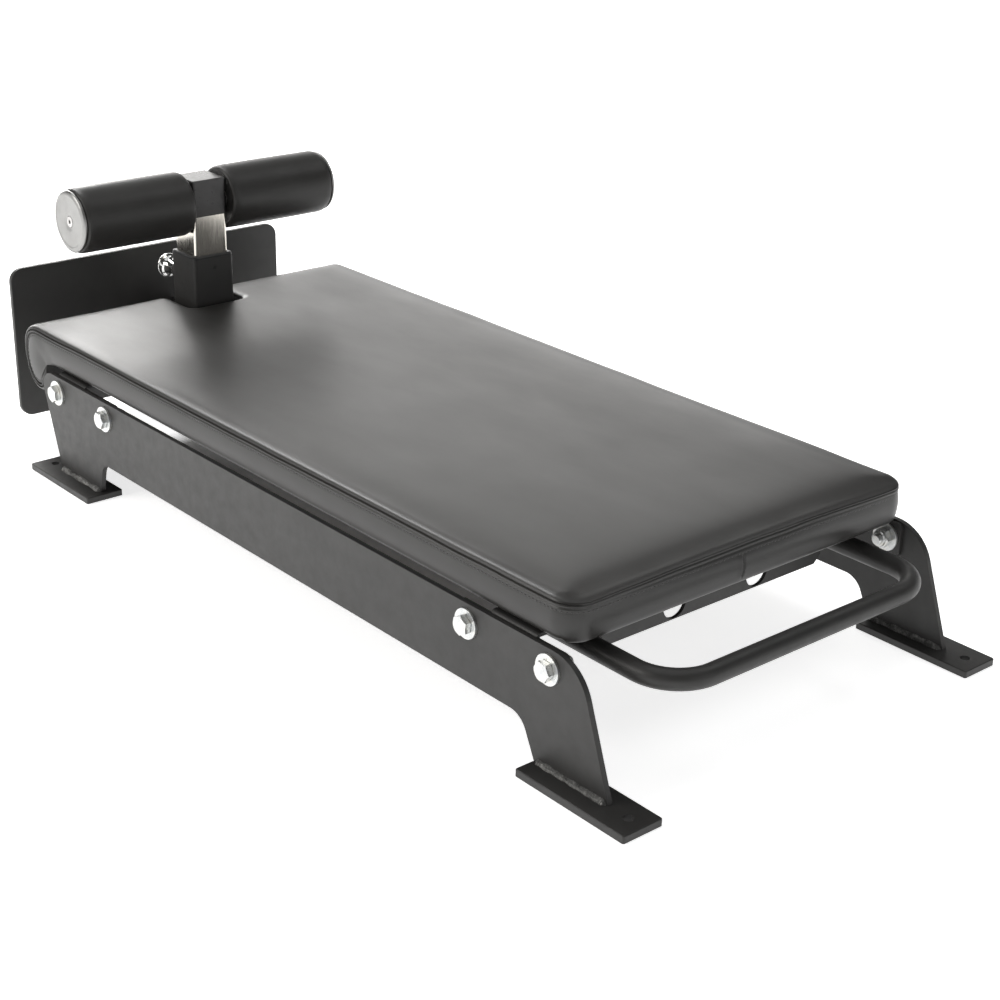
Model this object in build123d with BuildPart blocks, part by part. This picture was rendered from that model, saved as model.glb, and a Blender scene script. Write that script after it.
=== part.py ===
"""Low Nordic-curl (hamstring) bench, all lengths in millimetres.

Frame: +X runs from the foot plate at the rear to the grab handle at the front,
+Z is up, the floor is Z = 0 and Y = 0 is the centre plane. The origin sits on
the floor in the middle of the overall length.
"""
import os

from build123d import *

os.makedirs("parts", exist_ok=True)

# ---------------------------------------------------------------- side plates
plate_t = 6.0
plate_out = 250.0
plate_in = plate_out - plate_t
bar_low = 49.5
bar_top = 135.0
rear_leg_back = -446.7
rear_leg_top = -490.3
rear_leg_front = -346.0
rear_leg_root = -336.0
front_leg_back = 487.0
front_leg_root = 467.0
front_leg_top = 546.0
front_leg_nose = 591.0

# ----------------------------------------------------------------- floor feet
foot_t = 8.0
foot_len = 150.0
foot_w = 50.0
foot_y = 249.0
foot_rear_x = -413.0
foot_front_x = 562.0
foot_hole_d = 11.0
foot_hole_edge = 20.0
weld_leg = 5.0

# -------------------------------------------------- bolted joints to the plates
bolt_z = 113.5
bolt_pitch = 120.0
rear_bolt_x = -383.0
front_bolt_x = 444.0
bolt_d = 12.0
bolt_clear_d = 13.0
hex_af = 19.0
hex_h = 7.5
washer_d = 32.0
washer_bore_d = 13.0
washer_t = 2.5
nut_h = 12.0
bolt_tail = 3.0

# -------------------------------------------------------------- cross members
sheet_t = 4.0
bend_r = 5.0
web_top = 138.0
web_w = 67.0
rear_web_x = -449.0
front_web_x = 413.0
skirt_half = 160.0
skirt_low = 97.0
skirt_chamfer = 9.0
end_flange_half = 79.0
end_flange_low = 94.0
light_hole_d = 32.0
light_hole_y = 60.0
light_hole_z = 114.0
pad_bolt_y = 150.0
pad_bolt_clear_d = 9.0

# --------------------------------------------------------------------- handle
handle_d = 22.0
handle_wall = 2.0
handle_y = 187.0
handle_z = 113.5
handle_x = 605.0
handle_end_x = 418.0
handle_bend = 50.0
lug_t = 8.0

# ------------------------------------------------------- socket and its bracket
socket_x = -490.0
socket_out = 60.0
socket_wall = 3.0
socket_low = 97.0
socket_top = 246.0
collar_t = 4.0
post_out = 50.0
post_wall = 2.5
post_low = 115.0
post_top = 302.5
slide_gap = 0.1
nub_z = 232.5
nub_d = 5.2
bracket_t = 6.0
pin_z = 208.0
hole_pitch = 25.0

# ------------------------------------------------------------------ foot plate
kick_x = -631.0
kick_t = 6.0
kick_low = 15.5
kick_top = 225.0
kick_w = 425.0
kick_r = 18.0

# -------------------------------------------------------------------- pull pin
nose_d = 12.0
rod_d = 10.0
barrel_d = 24.0
barrel_len = 34.0
chamber_d = 18.0
knob_d = 32.0

# --------------------------------------------------------------- roller assembly
axis_z = 318.5
head_h = 49.0
axle_d = 25.0
axle_half = 188.4
roller_in = 28.5
roller_out = 188.0
sleeve_d = 84.5
core_d = 38.0
core_wall = 2.5
bush_len = 22.0
run_gap = 0.05
cap_d = 80.0

# ------------------------------------------------------------------------- pad
pad_half = 243.5
pad_top = 186.0
pad_under = 139.0
pad_front = 525.0
pad_nose = -544.0
notch_half = 42.0
notch_front = -452.0
board_t = 15.0
board_half = 232.0
board_rear = -440.0
board_front = 506.0

made = []


def save(builder, name):
    """Name a finished piece and write it to the parts folder."""
    builder.part.label = name
    export_step(builder.part, f"parts/{name}.step")
    made.append(name)


# ------------------------------------------------------------------ side plates
# Laser-cut plate: straight bar with a leg at each end, leaning outwards.
def side_outline():
    return [
        (rear_leg_back, foot_t),
        (rear_leg_top, bar_top),
        (front_leg_top, bar_top),
        (front_leg_nose, foot_t),
        (front_leg_back, foot_t),
        (front_leg_root, bar_low),
        (rear_leg_root, bar_low),
        (rear_leg_front, foot_t),
    ]


def corner(sketch, x, y):
    """The vertex of a side plate outline that lies nearest a corner."""
    return sketch.vertices().sort_by_distance((x, y, 0))[0]


plate_bolt_xs = [
    rear_bolt_x - bolt_pitch / 2,
    rear_bolt_x + bolt_pitch / 2,
    front_bolt_x - bolt_pitch / 2,
    front_bolt_x + bolt_pitch / 2,
]

for side_name, side_plane in (
    ("side_plate_left", Plane.XZ.offset(plate_in)),
    ("side_plate_right", Plane.XZ.offset(-plate_out)),
):
    with BuildPart() as side_plate:
        with BuildSketch(side_plane) as outline:
            with BuildLine():
                Polyline(*side_outline(), close=True)
            make_face()
            local = outline.sketch_local
            fillet(corner(local, rear_leg_top, bar_top), 22)
            fillet(corner(outline.sketch_local, front_leg_top, bar_top), 50)
            fillet(corner(outline.sketch_local, front_leg_root, bar_low), 25)
            fillet(corner(outline.sketch_local, rear_leg_root, bar_low), 18)
            with Locations(*[(x, bolt_z) for x in plate_bolt_xs]):
                Circle(bolt_clear_d / 2, mode=Mode.SUBTRACT)
        extrude(amount=plate_t)
    save(side_plate, side_name)

# ------------------------------------------------------------------ floor feet
# Flat bar feet under the legs, one floor-bolt hole in each free end.
for foot_name, foot_x, foot_side, hole_side in (
    ("foot_rear_left", foot_rear_x, -1, -1),
    ("foot_rear_right", foot_rear_x, 1, -1),
    ("foot_front_left", foot_front_x, -1, 1),
    ("foot_front_right", foot_front_x, 1, 1),
):
    hole_x = foot_x + hole_side * (foot_len / 2 - foot_hole_edge)
    with BuildPart() as foot:
        with BuildSketch(Plane.XY):
            with Locations((foot_x, foot_side * foot_y)):
                RectangleRounded(foot_len, foot_w, 2.5)
            with Locations((hole_x, foot_side * foot_y)):
                Circle(foot_hole_d / 2, mode=Mode.SUBTRACT)
        extrude(amount=foot_t)
        top_edges = foot.faces().sort_by(Axis.Z)[-1].outer_wire().edges()
        chamfer(top_edges, 0.8)
    save(foot, foot_name)

# Fillet welds along both faces of each leg where it stands on its foot.
with BuildPart() as foot_welds:
    for leg_start, leg_end in (
        (rear_leg_back + 2, rear_leg_front - 2),
        (front_leg_back + 4, front_leg_nose - 2),
    ):
        with BuildSketch(Plane.YZ.offset(leg_start)):
            for weld_side in (-1, 1):
                for face_y, way in ((plate_out, 1), (plate_in, -1)):
                    y0 = weld_side * face_y
                    y1 = weld_side * (face_y + way * weld_leg)
                    with BuildLine():
                        Polyline((y0, foot_t), (y1, foot_t), (y0, foot_t + weld_leg), close=True)
                    make_face()
        extrude(amount=leg_end - leg_start)
save(foot_welds, "foot_welds")


# --------------------------------------------------------------- cross members
# Folded sheet: a flat web under the pad, two skirts bent down along its length
# and a drilled flange bent down at each end for the side-plate bolts.
def web_and_ends():
    """Section across the bench: web with both ends bent down."""
    with BuildSketch(Plane.XY, mode=Mode.PRIVATE) as section:
        with Locations((0, (web_top + end_flange_low) / 2)):
            Rectangle(2 * plate_in, web_top - end_flange_low)
        outer = section.vertices().group_by(Axis.Y)[-1]
        fillet(outer, bend_r)
        low_mid = (web_top - sheet_t + end_flange_low) / 2
        with Locations((0, low_mid)):
            Rectangle(
                2 * (plate_in - sheet_t),
                web_top - sheet_t - end_flange_low,
                mode=Mode.SUBTRACT,
            )
    return section.sketch


def skirt_face(with_holes):
    """Outline of one skirt, chamfered at its lower corners."""
    with BuildSketch(Plane.XY, mode=Mode.PRIVATE) as face:
        with Locations((0, (web_top - 1 + skirt_low) / 2)):
            Rectangle(2 * skirt_half, web_top - 1 - skirt_low)
        chamfer(face.vertices().group_by(Axis.Y)[0], skirt_chamfer)
        if with_holes:
            with Locations((-light_hole_y, light_hole_z), (light_hole_y, light_hole_z)):
                Circle(light_hole_d / 2, mode=Mode.SUBTRACT)
    return face.sketch


for cross_name, web_x, bolts_x, pierced in (
    ("rear_crossmember", rear_web_x, rear_bolt_x, False),
    ("front_crossmember", front_web_x, front_bolt_x, True),
):
    with BuildPart() as cross:
        with BuildSketch(Plane.YZ.offset(web_x)):
            add(web_and_ends())
        extrude(amount=web_w)
        for skirt_x, holed in ((web_x, False), (web_x + web_w - sheet_t, pierced)):
            with BuildSketch(Plane.YZ.offset(skirt_x)):
                add(skirt_face(holed))
            extrude(amount=sheet_t)
        for flange_plane in (Plane.XZ.offset(plate_in - sheet_t), Plane.XZ.offset(-plate_in)):
            with BuildSketch(flange_plane):
                with Locations((bolts_x, (web_top - bend_r + end_flange_low) / 2)):
                    RectangleRounded(
                        2 * end_flange_half, web_top - bend_r - end_flange_low, 6
                    )
            extrude(amount=sheet_t)
        for flange_plane in (Plane.XZ.offset(plate_in - sheet_t), Plane.XZ.offset(-plate_in)):
            with BuildSketch(flange_plane):
                for hole_x in (bolts_x - bolt_pitch / 2, bolts_x + bolt_pitch / 2):
                    with Locations((hole_x, bolt_z)):
                        Circle(bolt_clear_d / 2)
            extrude(amount=sheet_t, mode=Mode.SUBTRACT)
        with BuildSketch(Plane.XY.offset(web_top - sheet_t)):
            with Locations(
                (web_x + web_w / 2, -pad_bolt_y), (web_x + web_w / 2, pad_bolt_y)
            ):
                Circle(pad_bolt_clear_d / 2)
        extrude(amount=sheet_t, mode=Mode.SUBTRACT)
    save(cross, cross_name)


# ------------------------------------------------------ side-plate bolt hardware
# Eight M12 joints: hex bolt and washer outside, washer and lock nut inside.
def joint_planes():
    """One plane per bolt, on the outer plate face, looking outwards."""
    planes = []
    for x in plate_bolt_xs:
        for side in (-1, 1):
            planes.append(
                Plane(origin=(x, side * plate_out, bolt_z), x_dir=(1, 0, 0), z_dir=(0, side, 0))
            )
    return planes


grip = plate_t + sheet_t
shank_len = washer_t + grip + washer_t + nut_h + bolt_tail

with BuildPart() as hex_bolts:
    for seat in joint_planes():
        with BuildSketch(seat.offset(washer_t)):
            RegularPolygon(hex_af / 2, 6, major_radius=False)
        extrude(amount=hex_h)
        with BuildSketch(seat.offset(washer_t - shank_len)):
            Circle(bolt_d / 2)
        extrude(amount=shank_len)
save(hex_bolts, "hex_bolts")

with BuildPart() as outer_washers:
    for seat in joint_planes():
        with BuildSketch(seat):
            Circle(washer_d / 2)
            Circle(washer_bore_d / 2, mode=Mode.SUBTRACT)
        extrude(amount=washer_t)
save(outer_washers, "outer_washers")

with BuildPart() as inner_washers:
    for seat in joint_planes():
        with BuildSketch(seat.offset(-grip - washer_t)):
            Circle(washer_d / 2)
            Circle(washer_bore_d / 2, mode=Mode.SUBTRACT)
        extrude(amount=washer_t)
save(inner_washers, "inner_washers")

with BuildPart() as lock_nuts:
    for seat in joint_planes():
        with BuildSketch(seat.offset(-grip - washer_t - nut_h * 0.7)):
            RegularPolygon(hex_af / 2, 6, major_radius=False)
            Circle(bolt_d / 2, mode=Mode.SUBTRACT)
        extrude(amount=nut_h * 0.7)
        with BuildSketch(seat.offset(-grip - washer_t - nut_h)):
            Circle(hex_af / 2 - 1)
            Circle(bolt_d / 2, mode=Mode.SUBTRACT)
        extrude(amount=nut_h * 0.3)
save(lock_nuts, "lock_nuts")

# ---------------------------------------------------------------- grab handle
# U-shaped tube ahead of the pad, its arms running back under the front web.
with BuildPart() as handle_tube:
    with BuildLine() as handle_path:
        FilletPolyline(
            (handle_end_x, -handle_y, handle_z),
            (handle_x, -handle_y, handle_z),
            (handle_x, handle_y, handle_z),
            (handle_end_x, handle_y, handle_z),
            radius=handle_bend,
        )
    with BuildSketch(
        Plane(origin=(handle_end_x, -handle_y, handle_z), x_dir=(0, 1, 0), z_dir=(1, 0, 0))
    ):
        Circle(handle_d / 2)
        Circle(handle_d / 2 - handle_wall, mode=Mode.SUBTRACT)
    sweep(path=handle_path.line)
save(handle_tube, "handle_tube")

# Saddles welded between the web and the handle arms.
lug_start = front_web_x + sheet_t + 8
lug_end = front_web_x + web_w - sheet_t - 8
with BuildPart() as handle_lugs:
    with BuildSketch(Plane.YZ.offset(lug_start)):
        for arm_y in (-handle_y, handle_y):
            with Locations((arm_y, (handle_z + web_top - sheet_t) / 2)):
                Rectangle(lug_t, web_top - sheet_t - handle_z)
            with Locations((arm_y, handle_z)):
                Circle(handle_d / 2, mode=Mode.SUBTRACT)
    extrude(amount=lug_end - lug_start)
save(handle_lugs, "handle_lugs")

# Plastic plugs closing the open rear ends of the handle tube.
with BuildPart() as handle_plugs:
    for arm_y in (-handle_y, handle_y):
        with BuildSketch(Plane.YZ.offset(handle_end_x - 2)):
            with Locations((arm_y, handle_z)):
                Circle(handle_d / 2 - 0.5)
        extrude(amount=2)
        with BuildSketch(Plane.YZ.offset(handle_end_x)):
            with Locations((arm_y, handle_z)):
                Circle(handle_d / 2 - handle_wall)
        extrude(amount=12)
save(handle_plugs, "handle_plugs")


# -------------------------------------------------- socket, liner and bracket
def square_tube(size, wall, radius, x):
    """Hollow square section centred on the post axis."""
    with BuildSketch(Plane.XY, mode=Mode.PRIVATE) as section:
        with Locations((x, 0)):
            RectangleRounded(size, size, radius)
            RectangleRounded(
                size - 2 * wall, size - 2 * wall, max(radius - wall, 0.8), mode=Mode.SUBTRACT
            )
    return section.sketch


rear_face_x = socket_x - socket_out / 2
front_face_x = socket_x + socket_out / 2

with BuildPart() as socket_tube:
    with BuildSketch(Plane.XY.offset(socket_low)):
        add(square_tube(socket_out, socket_wall, 5, socket_x))
    extrude(amount=socket_top - socket_low)
    with BuildSketch(Plane.YZ.offset(rear_face_x - 1)):
        with Locations((0, pin_z)):
            Circle(nose_d / 2 + 0.3)
    extrude(amount=socket_wall + 2, mode=Mode.SUBTRACT)
    with BuildSketch(Plane.YZ.offset(front_face_x - socket_wall - 1)):
        with Locations((0, nub_z)):
            Circle(nub_d / 2 + 0.1)
    extrude(amount=socket_wall + 2, mode=Mode.SUBTRACT)
save(socket_tube, "socket_tube")

# Nylon liner: a square sleeve with a collar on the tube rim and a snap nub.
liner_out = socket_out - 2 * socket_wall
liner_wall = (liner_out - post_out) / 2 - slide_gap
with BuildPart() as socket_liner:
    with BuildSketch(Plane.XY.offset(socket_low)):
        add(square_tube(liner_out, liner_wall, 3, socket_x))
    extrude(amount=socket_top - socket_low)
    with BuildSketch(Plane.XY.offset(socket_top)):
        add(square_tube(socket_out - 0.6, socket_wall - 0.3 + liner_wall, 5, socket_x))
    extrude(amount=collar_t)
    rim = socket_liner.faces().sort_by(Axis.Z)[-1].outer_wire().edges()
    chamfer(rim, 1.5)
    with BuildSketch(Plane.YZ.offset(front_face_x - socket_wall)):
        with Locations((0, nub_z)):
            Circle(nub_d / 2)
    extrude(amount=socket_wall - 0.6)
    with BuildSketch(Plane.YZ.offset(rear_face_x)):
        with Locations((0, pin_z)):
            Circle(nose_d / 2 + 0.3)
    extrude(amount=socket_wall + liner_wall + 1, mode=Mode.SUBTRACT)
save(socket_liner, "socket_liner")

# Two laser-cut cheeks tie the rear cross member, the socket and the foot plate.
for cheek_name, cheek_plane in (
    ("bracket_plate_left", Plane.XZ.offset(socket_out / 2)),
    ("bracket_plate_right", Plane.XZ.offset(-socket_out / 2 - bracket_t)),
):
    with BuildPart() as cheek:
        with BuildSketch(cheek_plane) as cheek_outline:
            with BuildLine():
                Polyline(
                    (kick_x, 45),
                    (kick_x, 142),
                    (rear_web_x, 134),
                    (rear_web_x, skirt_low),
                    (rear_web_x - 60, 84),
                    close=True,
                )
            make_face()
            low_corner = corner(cheek_outline.sketch_local, rear_web_x - 60, 84)
            fillet(low_corner, 30)
        extrude(amount=bracket_t)
    save(cheek, cheek_name)

# ------------------------------------------------------------------ foot plate
with BuildPart() as footplate:
    with BuildSketch(Plane.YZ.offset(kick_x - kick_t)):
        with Locations((0, (kick_low + kick_top) / 2)):
            RectangleRounded(kick_w, kick_top - kick_low, kick_r)
    extrude(amount=kick_t)
    front_rim = footplate.faces().sort_by(Axis.X)[-1].outer_wire().edges()
    chamfer(front_rim, 0.8)
save(footplate, "footplate")

# Weld beads where the cheeks meet the foot plate.
with BuildPart() as bracket_welds:
    with BuildSketch(Plane.XY.offset(50)):
        for cheek_side in (-1, 1):
            y0 = cheek_side * (socket_out / 2 + bracket_t)
            with BuildLine():
                Polyline(
                    (kick_x, y0),
                    (kick_x + weld_leg, y0),
                    (kick_x, y0 + cheek_side * weld_leg),
                    close=True,
                )
            make_face()
    extrude(amount=85)
save(bracket_welds, "bracket_welds")


# -------------------------------------------------------------------- pull pin
def pin_plane(x):
    """Plane square to the pin axis, looking along +X."""
    return Plane(origin=(x, 0, pin_z), x_dir=(0, 1, 0), z_dir=(1, 0, 0))


barrel_x = rear_face_x - barrel_len
with BuildPart() as pin_barrel:
    with BuildSketch(pin_plane(barrel_x)):
        Circle(barrel_d / 2)
        Circle(rod_d / 2 + 0.1, mode=Mode.SUBTRACT)
    extrude(amount=barrel_len)
    with BuildSketch(pin_plane(barrel_x + 6)):
        Circle(chamber_d / 2)
    extrude(amount=barrel_len - 10, mode=Mode.SUBTRACT)
    with BuildSketch(pin_plane(rear_face_x - 5)):
        Circle(nose_d / 2 + 0.1)
    extrude(amount=6, mode=Mode.SUBTRACT)
    back_rim = pin_barrel.faces().sort_by(Axis.X)[0].outer_wire().edges()
    chamfer(back_rim, 1.2)
save(pin_barrel, "pin_barrel")

nose_tip = socket_x - post_out / 2 - 0.6
collar_front = rear_face_x - 6
collar_back = collar_front - 3
knob_front = barrel_x - 6
with BuildPart() as pin_rod:
    with BuildSketch(pin_plane(collar_front)):
        Circle(nose_d / 2)
    extrude(amount=nose_tip - collar_front)
    with BuildSketch(pin_plane(collar_back)):
        Circle(chamber_d / 2 - 0.3)
    extrude(amount=collar_front - collar_back)
    with BuildSketch(pin_plane(knob_front - 20)):
        Circle(rod_d / 2)
    extrude(amount=collar_back - knob_front + 20)
    nose_rim = pin_rod.faces().sort_by(Axis.X)[-1].outer_wire().edges()
    chamfer(nose_rim, 1.0)
save(pin_rod, "pin_rod")

# Return spring, drawn fully closed, carried on the rod behind its collar.
spring_wire = 1.6
with BuildPart() as pin_spring:
    with BuildLine() as coil:
        Helix(
            pitch=1.8,
            height=7.2,
            radius=7.3,
            center=(collar_back - 0.9, 0, pin_z),
            direction=(-1, 0, 0),
        )
    with BuildSketch(Plane(origin=coil.line @ 0, z_dir=coil.line % 0)):
        Circle(spring_wire / 2)
    sweep(path=coil.line, is_frenet=True)
save(pin_spring, "pin_spring")

# Trumpet pull knob, flared away from the socket.
with BuildPart() as pin_knob:
    with BuildSketch(Plane.XZ) as knob_half:
        with BuildLine():
            a = (knob_front, pin_z + rod_d / 2)
            b = (knob_front, pin_z + 8.5)
            c = (knob_front - 20, pin_z + knob_d / 2)
            Line(a, b)
            Spline(b, (knob_front - 11, pin_z + 9.8), c, tangents=((-1, 0), (-0.35, 1)))
            d = (knob_front - 24, pin_z + knob_d / 2 - 0.5)
            e = (knob_front - 31, pin_z + 9)
            ThreePointArc(c, (knob_front - 22.3, pin_z + knob_d / 2 + 0.6), d)
            Spline(d, e, (knob_front - 32.5, pin_z), tangents=((-0.8, -1), (0, -1)))
            Line((knob_front - 32.5, pin_z), (knob_front - 20, pin_z))
            Line((knob_front - 20, pin_z), (knob_front - 20, pin_z + rod_d / 2))
            Line((knob_front - 20, pin_z + rod_d / 2), a)
        make_face()
    revolve(axis=Axis((knob_front, 0, pin_z), (1, 0, 0)))
save(pin_knob, "pin_knob")

# --------------------------------------------------------------- sliding post
with BuildPart() as post_tube:
    with BuildSketch(Plane.XY.offset(post_low)):
        add(square_tube(post_out, post_wall, 4, socket_x))
    extrude(amount=post_top - post_low)
    with BuildSketch(Plane.YZ.offset(socket_x - post_out / 2 - 1)):
        for step in (-1, 0, 1, 2, 3):
            with Locations((0, pin_z - step * hole_pitch)):
                Circle(nose_d / 2 + 0.4)
    extrude(amount=post_wall + 2, mode=Mode.SUBTRACT)
save(post_tube, "post_tube")

post_in = post_out - 2 * post_wall
with BuildPart() as post_plug:
    with BuildSketch(Plane.XY.offset(post_low - 3)):
        with Locations((socket_x, 0)):
            RectangleRounded(post_out - 1, post_out - 1, 3.5)
    extrude(amount=3)
    with BuildSketch(Plane.XY.offset(post_low)):
        with Locations((socket_x, 0)):
            RectangleRounded(post_in - 0.2, post_in - 0.2, 1.4)
    extrude(amount=6)
save(post_plug, "post_plug")

# Bored head block: a spigot drops into the post and the axle runs through it.
with BuildPart() as head_block:
    with BuildSketch(Plane.XY.offset(post_top)):
        with Locations((socket_x, 0)):
            RectangleRounded(post_out, post_out, 3)
    extrude(amount=head_h)
    crown = head_block.faces().sort_by(Axis.Z)[-1].outer_wire().edges()
    chamfer(crown, 1.2)
    with BuildSketch(Plane.XY.offset(post_top - 30)):
        with Locations((socket_x, 0)):
            RectangleRounded(post_in - 0.1, post_in - 0.1, 1.4)
    extrude(amount=30)
    with BuildSketch(Plane.XZ.offset(-post_out)):
        with Locations((socket_x, axis_z)):
            Circle(axle_d / 2)
    extrude(amount=2 * post_out, mode=Mode.SUBTRACT)
save(head_block, "head_block")


# ----------------------------------------------------------- axle and rollers
def axis_plane(y, side=1):
    """Plane square to the roller axis, looking along +Y or -Y."""
    return Plane(origin=(socket_x, y, axis_z), x_dir=(1, 0, 0), z_dir=(0, side, 0))


with BuildPart() as axle:
    with BuildSketch(axis_plane(-axle_half)):
        Circle(axle_d / 2)
    extrude(amount=2 * axle_half)
    for roller_side in (-1, 1):
        with BuildSketch(axis_plane(roller_side * axle_half, -roller_side)):
            Circle(4)
        extrude(amount=24, mode=Mode.SUBTRACT)
save(axle, "axle")

with BuildPart() as thrust_washers:
    for roller_side in (-1, 1):
        with BuildSketch(axis_plane(roller_side * post_out / 2, roller_side)):
            Circle(21)
            Circle(axle_d / 2 + run_gap, mode=Mode.SUBTRACT)
        extrude(amount=roller_in - 0.4 - post_out / 2)
save(thrust_washers, "thrust_washers")

for roller_name, roller_side in (("left", -1), ("right", 1)):
    roller_len = roller_out - roller_in
    inner_end = axis_plane(roller_side * roller_in, roller_side)
    outer_end = axis_plane(roller_side * roller_out, -roller_side)

    with BuildPart() as core:
        with BuildSketch(inner_end):
            Circle(core_d / 2)
            Circle(core_d / 2 - core_wall, mode=Mode.SUBTRACT)
        extrude(amount=roller_len)
    save(core, f"roller_core_{roller_name}")

    with BuildPart() as sleeve:
        with BuildSketch(inner_end):
            Circle(sleeve_d / 2)
            Circle(core_d / 2, mode=Mode.SUBTRACT)
        extrude(amount=roller_len)
        ends = sleeve.edges().filter_by(GeomType.CIRCLE).group_by(SortBy.RADIUS)[-1]
        fillet(ends, 2.0)
    save(sleeve, f"roller_sleeve_{roller_name}")

    with BuildPart() as bushes:
        for end_plane in (inner_end, outer_end):
            with BuildSketch(end_plane):
                Circle(core_d / 2 - core_wall)
                Circle(axle_d / 2 + run_gap, mode=Mode.SUBTRACT)
            extrude(amount=bush_len)
    save(bushes, f"roller_bushes_{roller_name}")

    # Pressed end cap, dished inside its rolled rim and screwed to the axle.
    with BuildPart() as end_cap:
        with BuildSketch(Plane.XY.offset(axis_z)):
            s = roller_side
            y0 = s * axle_half
            with BuildLine():
                Polyline(
                    (socket_x + 4.2, y0),
                    (socket_x + 14, y0),
                    (socket_x + 34, y0 + s * 1.6),
                    (socket_x + 36.2, y0 + s * 3.6),
                    (socket_x + 37.2, y0 + s * 3.6),
                    (socket_x + 37.4, y0 + s * 0.2),
                    (socket_x + cap_d / 2, y0 + s * 0.2),
                    (socket_x + cap_d / 2, y0 + s * 4.0),
                    (socket_x + 37.6, y0 + s * 5.4),
                    (socket_x + 36.0, y0 + s * 5.4),
                    (socket_x + 33.2, y0 + s * 3.2),
                    (socket_x + 13, y0 + s * 1.6),
                    (socket_x + 4.2, y0 + s * 1.6),
                    close=True,
                )
            make_face()
        revolve(axis=Axis((socket_x, 0, axis_z), (0, 1, 0)))
    save(end_cap, f"end_cap_{roller_name}")

# Button-head screws holding the end caps on the axle.
with BuildPart() as cap_screws:
    for roller_side in (-1, 1):
        seat_y = roller_side * (axle_half + 1.6)
        with BuildSketch(axis_plane(seat_y, roller_side)):
            Circle(7)
        extrude(amount=2.4)
        with BuildSketch(axis_plane(seat_y, -roller_side)):
            Circle(3.95)
        extrude(amount=20)
        with BuildSketch(axis_plane(seat_y + roller_side * 0.6, roller_side)):
            RegularPolygon(2.5, 6, major_radius=False)
        extrude(amount=2, mode=Mode.SUBTRACT)
save(cap_screws, "cap_screws")

# ------------------------------------------------------------------------- pad
# Plywood base board, clear of the socket notch.
pad_screw_spots = [
    (web_x + web_w / 2, side * pad_bolt_y)
    for web_x in (rear_web_x, front_web_x)
    for side in (-1, 1)
]
with BuildPart() as pad_board:
    with BuildSketch(Plane.XY.offset(web_top)):
        with Locations(((board_rear + board_front) / 2, 0)):
            RectangleRounded(board_front - board_rear, 2 * board_half, 12)
        with Locations(*pad_screw_spots):
            Circle(5.5, mode=Mode.SUBTRACT)
    extrude(amount=board_t)
save(pad_board, "pad_board")

# Upholstered cushion: flat top, rounded front and a thick roll over the rear
# end, notched around the socket.
with BuildPart() as pad_cushion:
    with BuildSketch(Plane.XZ.offset(pad_half)):
        with BuildLine():
            front_low = (pad_front - 6, pad_under)
            front_mid = (pad_front, pad_under + 16)
            front_up = (pad_front - 2, pad_top - 12)
            front_top = (pad_front - 14, pad_top)
            nose_top = (pad_nose + 42, pad_top)
            nose_back = (pad_nose, 152)
            nose_low = (pad_nose + 40, 99)
            nose_in = (pad_nose + 58, 112)
            Spline(front_low, front_mid, front_up, front_top,
                   tangents=((0.8, 0.6), (-1, 0)))
            Line(front_top, nose_top)
            Spline(nose_top, nose_back, nose_low, nose_in,
                   tangents=((-1, 0), (0, 1)))
            Line(nose_in, (nose_in[0], pad_under - 6))
            Line((nose_in[0], pad_under - 6), (nose_in[0] + 6, pad_under))
            Line((nose_in[0] + 6, pad_under), front_low)
        make_face()
    extrude(amount=-2 * pad_half)
    with BuildSketch(Plane.XY.offset(80)):
        with Locations(((notch_front + pad_nose - 60) / 2, 0)):
            RectangleRounded(notch_front - pad_nose + 60, 2 * notch_half, 12)
    extrude(amount=120, mode=Mode.SUBTRACT)
    with BuildSketch(Plane.XY.offset(web_top)):
        with Locations(((board_rear + board_front) / 2, 0)):
            RectangleRounded(board_front - board_rear, 2 * board_half, 12)
    extrude(amount=board_t, mode=Mode.SUBTRACT)
save(pad_cushion, "pad_cushion")

# Four M8 screws with washers pull the board down on the two webs.
with BuildPart() as pad_washers:
    with BuildSketch(Plane.XY.offset(web_top - sheet_t - 1.6)):
        with Locations(*pad_screw_spots):
            Circle(9)
            Circle(4.3, mode=Mode.SUBTRACT)
    extrude(amount=1.6)
save(pad_washers, "pad_washers")

with BuildPart() as pad_screws:
    head_z = web_top - sheet_t - 1.6
    with BuildSketch(Plane.XY.offset(head_z - 5)):
        with Locations(*pad_screw_spots):
            RegularPolygon(6.5, 6, major_radius=False)
    extrude(amount=5)
    with BuildSketch(Plane.XY.offset(head_z)):
        with Locations(*pad_screw_spots):
            Circle(4)
    extrude(amount=1.6 + sheet_t + board_t - 3)
save(pad_screws, "pad_screws")

with BuildPart() as pad_inserts:
    with BuildSketch(Plane.XY.offset(web_top)):
        with Locations(*pad_screw_spots):
            Circle(5.5)
            Circle(4, mode=Mode.SUBTRACT)
    extrude(amount=board_t - 2)
save(pad_inserts, "pad_inserts")

print(len(made), "pieces written")
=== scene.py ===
import math
import random

import bmesh
import bpy
import numpy as np
from mathutils import Matrix, Vector, kdtree
from mathutils.geometry import delaunay_2d_cdt


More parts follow.
